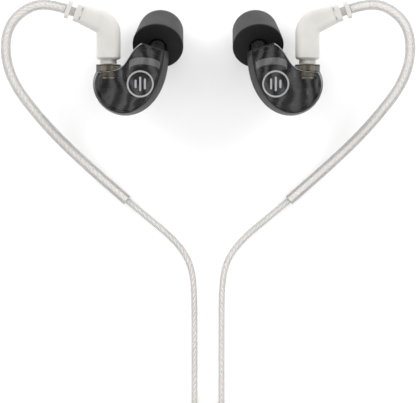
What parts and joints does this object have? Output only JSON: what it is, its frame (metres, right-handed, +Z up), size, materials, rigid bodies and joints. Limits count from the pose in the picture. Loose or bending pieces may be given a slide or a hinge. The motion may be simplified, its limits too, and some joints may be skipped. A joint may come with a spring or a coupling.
{
  "type": "in-ear monitors",
  "caption": "Pair of over-ear in-ear monitors with smoky bean-shaped shells, foam tips, preformed ear hooks and a detachable twisted cable ending in a stereo plug.",
  "frame": {"origin": "on the table under the middle of the two earpieces with their hooks, cable not counted", "axes": "+X from the left to the right earpiece, +Y from the coiled cable up to the elbows, +Z up from the table, towards the badges"},
  "size_m": [0.1036, 0.1739, 0.0186],
  "materials": {
    "smoke_plastic": "polished smoky transparent polycarbonate",
    "badge_foil": "satin hot-stamped foil",
    "driver_steel": "satin",
    "magnet_nickel": "nickel plated",
    "diaphragm_film": "thin formed film",
    "circuit_board": "solder mask",
    "copper_wire": "enamelled copper",
    "gold_brass": "gold plated",
    "white_insulator": "natural",
    "screen_mesh": "woven mesh",
    "tip_tube": "moulded",
    "memory_foam": "matt memory foam",
    "frosted_plastic": "frosted translucent",
    "clear_tube": "clear tube",
    "clear_cable": "clear jacket over silver strands",
    "tie_tape": "woven hook-and-loop tape",
    "boot_rubber": "satin",
    "plug_housing": "satin anodised",
    "black_insulator": "moulded"
  },
  "bodies": {
    "root": {"left_elbow": "frosted_plastic", "left_strain_relief": "frosted_plastic", "left_ear_hook": "clear_tube", "left_plug_barrel": "gold_brass", "left_plug_insulator": "white_insulator", "left_plug_pin": "gold_brass", "left_branch_cable": "clear_cable", "left_branch_coil": "clear_cable", "left_branch_tie": "tie_tape", "right_elbow": "frosted_plastic", "right_strain_relief": "frosted_plastic", "right_ear_hook": "clear_tube", "right_plug_barrel": "gold_brass", "right_plug_insulator": "white_insulator", "right_plug_pin": "gold_brass", "right_branch_cable": "clear_cable", "right_branch_coil": "clear_cable", "right_branch_tie": "tie_tape", "splitter": "frosted_plastic", "main_coil": "clear_cable", "coil_tie": "tie_tape", "main_cable": "clear_cable", "jack_boot": "boot_rubber", "jack_housing": "plug_housing", "jack_insulator": "black_insulator", "jack_sleeve": "gold_brass", "jack_ring": "gold_brass", "jack_tip": "gold_brass"},
    "chin_slider": {"chin_slider": "frosted_plastic"},
    "left_plug_ring": {"left_snap_ring": "gold_brass"},
    "left_earpiece": {"left_faceplate": "smoke_plastic", "left_inner_shell": "smoke_plastic", "left_badge": "badge_foil", "left_driver_frame": "driver_steel", "left_driver_magnet": "magnet_nickel", "left_driver_diaphragm": "diaphragm_film", "left_crossover_board": "circuit_board", "left_driver_wires": "copper_wire", "left_socket_barrel": "gold_brass", "left_socket_insulator": "white_insulator", "left_socket_contact": "gold_brass", "left_nozzle_screen": "screen_mesh"},
    "left_tip": {"left_tip_foam": "memory_foam", "left_tip_core": "tip_tube"},
    "right_plug_ring": {"right_snap_ring": "gold_brass"},
    "right_earpiece": {"right_faceplate": "smoke_plastic", "right_inner_shell": "smoke_plastic", "right_badge": "badge_foil", "right_driver_frame": "driver_steel", "right_driver_magnet": "magnet_nickel", "right_driver_diaphragm": "diaphragm_film", "right_crossover_board": "circuit_board", "right_driver_wires": "copper_wire", "right_socket_barrel": "gold_brass", "right_socket_insulator": "white_insulator", "right_socket_contact": "gold_brass", "right_nozzle_screen": "screen_mesh"},
    "right_tip": {"right_tip_foam": "memory_foam", "right_tip_core": "tip_tube"}
  },
  "joints": [
    {"name": "left_swivel", "type": "hinge", "parent": "root", "child": "left_plug_ring", "pos_m": [-0.0248, 0.00935, 0.01304], "axis": [0, 1, 0], "range_deg": [-165, 115]},
    {"name": "left_unplug", "type": "slide", "parent": "left_plug_ring", "child": "left_earpiece", "axis": [0, -1, 0], "range_m": [0, 0.008]},
    {"name": "left_tip_pull", "type": "slide", "parent": "left_earpiece", "child": "left_tip", "axis": [0.0999, 0.5496, -0.8294], "range_m": [0, 0.01]},
    {"name": "right_swivel", "type": "hinge", "parent": "root", "child": "right_plug_ring", "pos_m": [0.0248, 0.00935, 0.01304], "axis": [0, -1, 0], "range_deg": [-165, 115]},
    {"name": "right_unplug", "type": "slide", "parent": "right_plug_ring", "child": "right_earpiece", "axis": [0, -1, 0], "range_m": [0, 0.008]},
    {"name": "right_tip_pull", "type": "slide", "parent": "right_earpiece", "child": "right_tip", "axis": [-0.0999, 0.5496, -0.8294], "range_m": [0, 0.01]},
    {"name": "slider_travel", "type": "slide", "parent": "root", "child": "chin_slider", "axis": [0, 1, 0], "range_m": [0, 0.029]}
  ]
}
